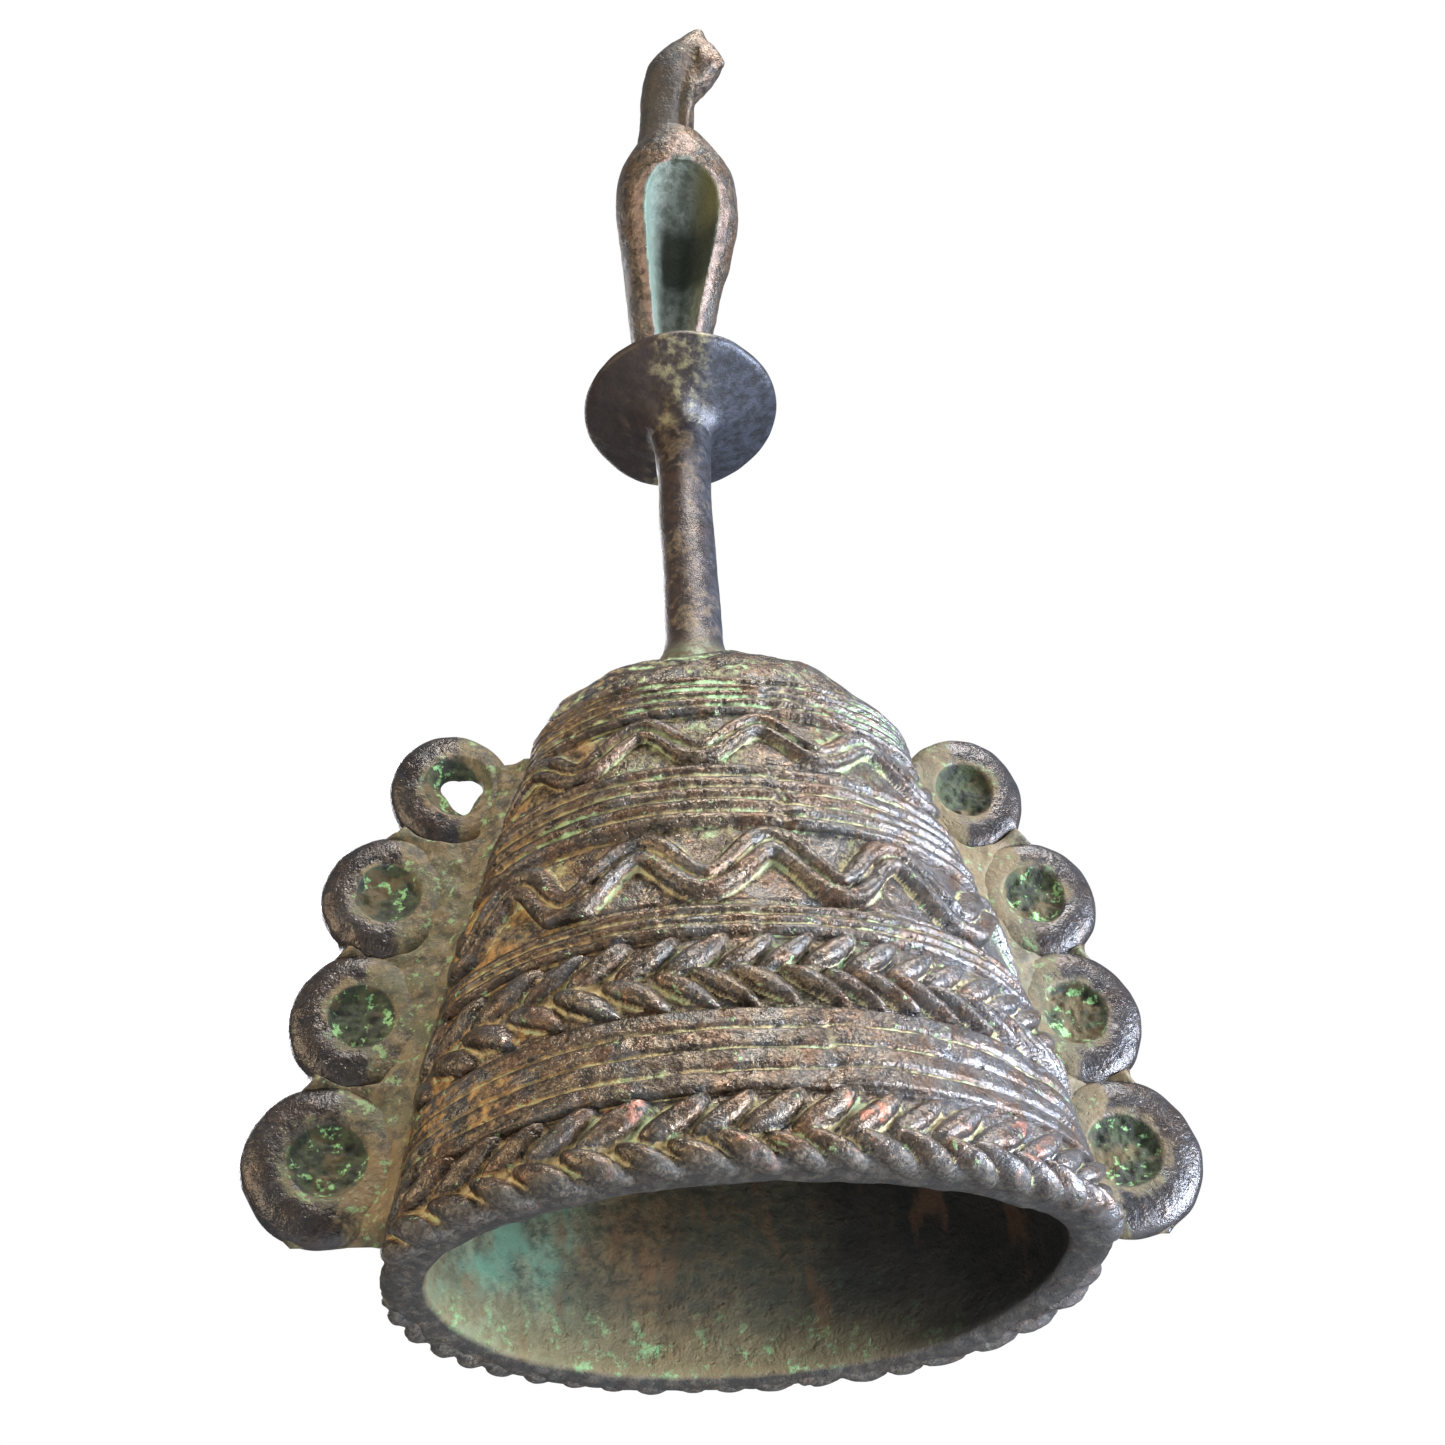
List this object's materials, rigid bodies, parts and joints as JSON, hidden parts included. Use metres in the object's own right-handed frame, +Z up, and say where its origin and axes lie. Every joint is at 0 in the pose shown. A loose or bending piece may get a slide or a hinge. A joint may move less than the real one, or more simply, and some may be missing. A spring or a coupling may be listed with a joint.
{
  "type": "temple bell",
  "caption": "Oval ritual hand bell in cast bronze with lobed side flanges, corded and plaited bands, a rod handle with a guard disc, a hollow bird finial and a swinging clapper",
  "frame": {"origin": "centre of the mouth's resting plane", "axes": "+X from the left flange to the right flange, +Y from the front of the bell to its back, +Z up the handle"},
  "size_m": [0.152, 0.0768, 0.2748],
  "materials": {
    "shell_bronze": "old cast bronze, dark brown and grey with green verdigris in the hollows",
    "cord_bronze": "old cast bronze, ochre dirt between the cords and worn tops",
    "lip_bronze": "old cast bronze with reddish copper where it is worn",
    "flange_bronze": "old cast bronze with bright verdigris in the blocked holes",
    "handle_bronze": "handled bronze, smoother and grey-brown with a pinkish worn rim",
    "bird_bronze": "dark cast bronze with worn edges round the open breast",
    "clapper_metal": "dark bronze, rubbed where it strikes"
  },
  "bodies": {
    "bell": {"bell_shell": "shell_bronze", "front_crown_cords": "cord_bronze", "front_upper_zigzag": "cord_bronze", "front_middle_cords": "cord_bronze", "front_lower_zigzag": "cord_bronze", "front_waist_cords": "cord_bronze", "front_upper_plait": "cord_bronze", "front_lower_cords": "cord_bronze", "front_lip_plait": "lip_bronze", "back_crown_cords": "cord_bronze", "back_upper_zigzag": "cord_bronze", "back_middle_cords": "cord_bronze", "back_lower_zigzag": "cord_bronze", "back_waist_cords": "cord_bronze", "back_upper_plait": "cord_bronze", "back_lower_cords": "cord_bronze", "back_lip_plait": "lip_bronze", "left_flange": "flange_bronze", "right_flange": "flange_bronze", "ring_left_1": "flange_bronze", "ring_left_2": "flange_bronze", "ring_left_3": "flange_bronze", "ring_left_4": "flange_bronze", "ring_right_1": "flange_bronze", "ring_right_2": "flange_bronze", "ring_right_3": "flange_bronze", "ring_right_4": "flange_bronze", "handle_rod": "handle_bronze", "guard_disc": "handle_bronze", "bird_body": "bird_bronze", "bird_head": "bird_bronze", "clapper_staple": "clapper_metal"},
    "link": {"clapper_link": "clapper_metal"},
    "clapper": {"clapper": "clapper_metal"}
  },
  "joints": [
    {"name": "link_on_staple", "type": "hinge", "parent": "bell", "child": "link", "pos_m": [0, 0, 0.11], "axis": [1, 0, 0], "range_deg": [-7.5, 7.5]},
    {"name": "clapper_on_link", "type": "hinge", "parent": "link", "child": "clapper", "pos_m": [0, 0, 0.1009], "axis": [0, 1, 0], "range_deg": [-25, 25]}
  ]
}
